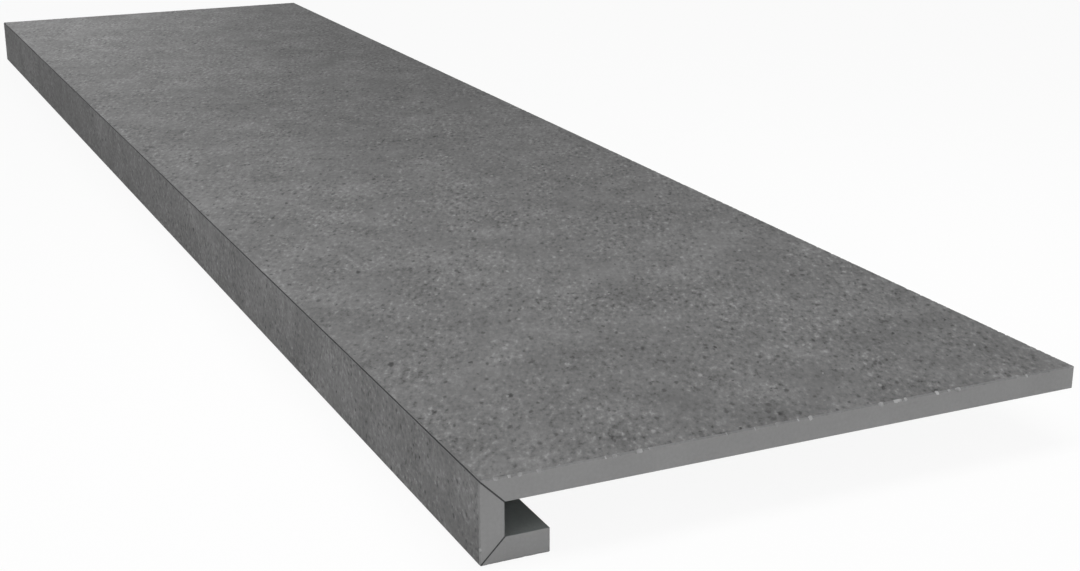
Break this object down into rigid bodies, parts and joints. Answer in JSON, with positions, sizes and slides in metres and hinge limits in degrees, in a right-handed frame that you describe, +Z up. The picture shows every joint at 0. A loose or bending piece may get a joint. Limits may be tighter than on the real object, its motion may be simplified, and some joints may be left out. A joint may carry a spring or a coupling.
{
  "type": "porcelain step tile",
  "caption": "Long porcelain stair tread tile with a stone-look face and a mitred, glued box nosing that turns down and back under its front edge.",
  "frame": {"origin": "under the middle of the tread, on the level of the return strip's underside", "axes": "+X along the step, +Y from the nosing to the back edge, +Z up out of the walked-on face"},
  "size_m": [1.2, 0.3, 0.0375],
  "materials": {
    "porcelain": "matte",
    "epoxy": "matte"
  },
  "bodies": {
    "root": {"tread_tile": "porcelain", "front_strip": "porcelain", "return_strip": "porcelain", "upper_glue_line": "epoxy", "lower_glue_line": "epoxy"}
  },
  "joints": []
}
